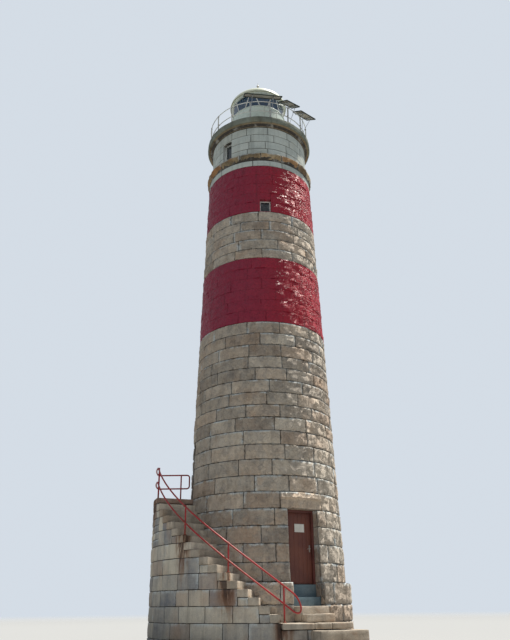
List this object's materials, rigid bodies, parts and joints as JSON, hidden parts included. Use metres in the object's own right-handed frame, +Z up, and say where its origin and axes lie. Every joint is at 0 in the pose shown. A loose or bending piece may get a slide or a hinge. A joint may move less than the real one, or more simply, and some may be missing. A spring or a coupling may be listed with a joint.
{
  "type": "stone lighthouse",
  "caption": "Tapered round stone lighthouse with two red bands, a winding outer stair with a pipe rail, a hinged entrance door, a railed gallery and a domed glazed lantern.",
  "frame": {"origin": "on the tower's axis at ground level, in the middle of the foot of the tower", "axes": "+Z up along the tower's axis, the entrance doorway faces -Y, +X to the right of it"},
  "size_m": [6.5598, 7.4703, 23.11],
  "materials": {
    "sandstone": "rock-faced sandstone, mortar joints",
    "red_paint": "glossy red masonry paint",
    "white_stone": "smooth pale ashlar, limewashed",
    "ochre_stone": "weathered orange-brown stone",
    "painted_step": "grey-blue painted masonry",
    "floor_stone": "worn floor stone",
    "step_stone": "pale worn step stone",
    "deck_concrete": "weathered concrete",
    "door_wood": "red-brown painted timber",
    "frame_wood": "dark red-brown painted timber",
    "hardware": "dull steel",
    "rail_red": "red enamel on pipe, chipped",
    "white_metal": "white enamel",
    "lantern_white": "white enamel, weathered",
    "dome_paint": "cream-green enamel",
    "glass": "dark clear glass",
    "window_glass": "dark window glass",
    "panel_glass": "solar cells under glass",
    "galvanised": "galvanised steel"
  },
  "bodies": {
    "tower": {"base_wall": "sandstone", "entrance_lintel": "sandstone", "entrance_sill": "painted_step", "doorway_steps": "painted_step", "ground_floor": "floor_stone", "first_floor": "floor_stone", "watch_room_floor": "floor_stone", "door_frame": "frame_wood", "hinge_straps": "hardware", "entrance_steps": "step_stone", "foot_slab": "step_stone", "foot_slab_base": "sandstone", "low_steps": "step_stone", "shaft_lower": "sandstone", "lower_red_band": "red_paint", "shaft_middle": "sandstone", "upper_red_band": "red_paint", "white_course": "white_stone", "string_course": "ochre_stone", "watch_room_wall": "white_stone", "gallery_cornice": "ochre_stone", "gallery_deck": "deck_concrete", "gallery_posts": "white_metal", "gallery_rails": "white_metal", "upper_door_frame": "frame_wood", "upper_door": "door_wood", "window_frames": "white_metal", "window_panes": "window_glass", "lantern_wall": "lantern_white", "lantern_door": "lantern_white", "lantern_sill": "lantern_white", "glazing_bars": "white_metal", "lantern_head": "lantern_white", "lantern_glass": "glass", "dome": "dome_paint", "lightning_rod": "hardware", "solar_panels": "panel_glass", "panel_brackets": "galvanised", "stair_base_lower": "sandstone", "stair_base_upper": "sandstone", "landing_base": "sandstone", "stair_treads": "step_stone", "landing_slab": "step_stone", "stair_posts": "rail_red", "stair_rails": "rail_red", "landing_rail": "rail_red"},
    "door": {"entrance_door": "door_wood", "door_handle": "hardware", "door_hinges": "hardware"}
  },
  "joints": [
    {"name": "entrance_door_hinge", "type": "hinge", "parent": "tower", "child": "door", "pos_m": [-0.463, -2.117, 2.7], "axis": [0, 0, 1], "range_deg": [0, 90]}
  ]
}
